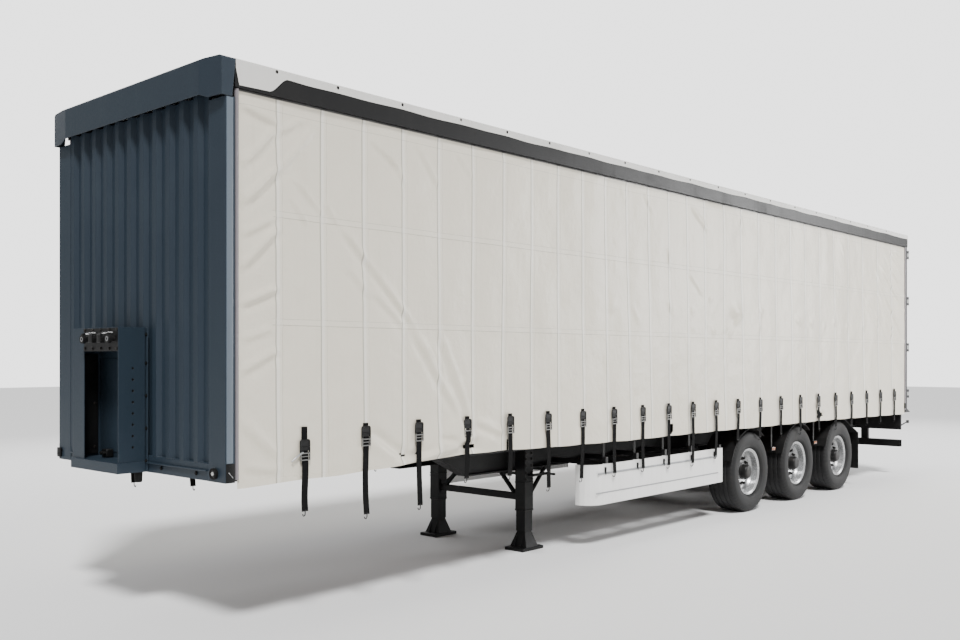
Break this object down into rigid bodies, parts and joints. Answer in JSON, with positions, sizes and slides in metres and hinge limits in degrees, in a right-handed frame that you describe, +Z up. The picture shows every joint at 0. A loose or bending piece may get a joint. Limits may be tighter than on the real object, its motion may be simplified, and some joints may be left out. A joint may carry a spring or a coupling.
{
  "type": "semi trailer",
  "caption": "Curtain-sided box semi trailer with ribbed front wall, strapped side curtains, rear doors, landing legs and a triple axle bogie.",
  "frame": {"origin": "on the ground below the middle of the trailer's bounding box", "axes": "+X towards the front wall and kingpin, +Y towards the trailer's left side, +Z up"},
  "size_m": [13.996, 2.562, 4.11],
  "materials": {
    "chassis_paint": "satin",
    "rail_steel": "satin",
    "floor_board": "matt phenolic film",
    "plate_steel": "satin",
    "bare_steel": "machined",
    "front_paint": "satin",
    "black_plastic": "matt",
    "roof_rail_paint": "satin",
    "bare_aluminium": "brushed",
    "roof_fabric": "coated",
    "curtain_fabric": "coated satin",
    "strap_web": "woven",
    "slat_wood": "planed",
    "rear_paint": "satin",
    "door_panel": "anodised",
    "bar_steel": "galvanised",
    "lamp_plastic": "matt",
    "guard_panel": "gloss",
    "mudguard_plastic": "matt",
    "axle_paint": "satin",
    "spring_rubber": "matt",
    "tyre_rubber": "matt",
    "rim_paint": "silver"
  },
  "bodies": {
    "chassis": {"main_beams": "chassis_paint", "crossmembers": "chassis_paint", "side_rails": "rail_steel", "load_floor": "floor_board", "coupler_plate": "plate_steel", "kingpin": "bare_steel", "front_wall": "front_paint", "front_corner_posts": "front_paint", "front_header_cap": "front_paint", "connector_box": "front_paint", "air_couplings": "black_plastic", "roof_rails": "roof_rail_paint", "roof_bows": "bare_aluminium", "roof_sheet": "roof_fabric", "curtain_left": "curtain_fabric", "curtain_right": "curtain_fabric", "curtain_straps": "strap_web", "side_posts": "bare_aluminium", "side_slats": "slat_wood", "rear_frame": "rear_paint", "underride_bumper": "chassis_paint", "lamps": "lamp_plastic", "landing_legs": "chassis_paint", "landing_brace": "chassis_paint", "side_guards": "guard_panel", "guard_brackets": "chassis_paint", "mudguards": "mudguard_plastic", "axles": "axle_paint", "trailing_arms": "axle_paint", "air_springs": "spring_rubber", "air_tanks": "chassis_paint"},
    "door_left": {"rear_door_left": "door_panel", "lock_bars_left": "bar_steel"},
    "door_right": {"rear_door_right": "door_panel", "lock_bars_right": "bar_steel"},
    "wheel_1_left": {"tyre_1_left": "tyre_rubber", "rim_1_left": "rim_paint"},
    "wheel_2_left": {"tyre_2_left": "tyre_rubber", "rim_2_left": "rim_paint"},
    "wheel_3_left": {"tyre_3_left": "tyre_rubber", "rim_3_left": "rim_paint"},
    "wheel_1_right": {"tyre_1_right": "tyre_rubber", "rim_1_right": "rim_paint"},
    "wheel_2_right": {"tyre_2_right": "tyre_rubber", "rim_2_right": "rim_paint"},
    "wheel_3_right": {"tyre_3_right": "tyre_rubber", "rim_3_right": "rim_paint"}
  },
  "joints": [
    {"name": "rear_door_left_swing", "type": "hinge", "parent": "chassis", "child": "door_left", "pos_m": [-6.918, 1.26, 2.4], "axis": [0, 0, 1], "range_deg": [-265, 0]},
    {"name": "rear_door_right_swing", "type": "hinge", "parent": "chassis", "child": "door_right", "pos_m": [-6.918, -1.26, 2.4], "axis": [0, 0, 1], "range_deg": [0, 265]},
    {"name": "wheel_1_left_spin", "type": "hinge", "parent": "chassis", "child": "wheel_1_left", "pos_m": [-1.193, 1.04, 0.515], "axis": [0, 1, 0], "continuous": true},
    {"name": "wheel_2_left_spin", "type": "hinge", "parent": "chassis", "child": "wheel_2_left", "pos_m": [-2.623, 1.04, 0.515], "axis": [0, 1, 0], "continuous": true},
    {"name": "wheel_3_left_spin", "type": "hinge", "parent": "chassis", "child": "wheel_3_left", "pos_m": [-4.053, 1.04, 0.515], "axis": [0, 1, 0], "continuous": true},
    {"name": "wheel_1_right_spin", "type": "hinge", "parent": "chassis", "child": "wheel_1_right", "pos_m": [-1.193, -1.04, 0.515], "axis": [0, 1, 0], "continuous": true},
    {"name": "wheel_2_right_spin", "type": "hinge", "parent": "chassis", "child": "wheel_2_right", "pos_m": [-2.623, -1.04, 0.515], "axis": [0, 1, 0], "continuous": true},
    {"name": "wheel_3_right_spin", "type": "hinge", "parent": "chassis", "child": "wheel_3_right", "pos_m": [-4.053, -1.04, 0.515], "axis": [0, 1, 0], "continuous": true}
  ]
}
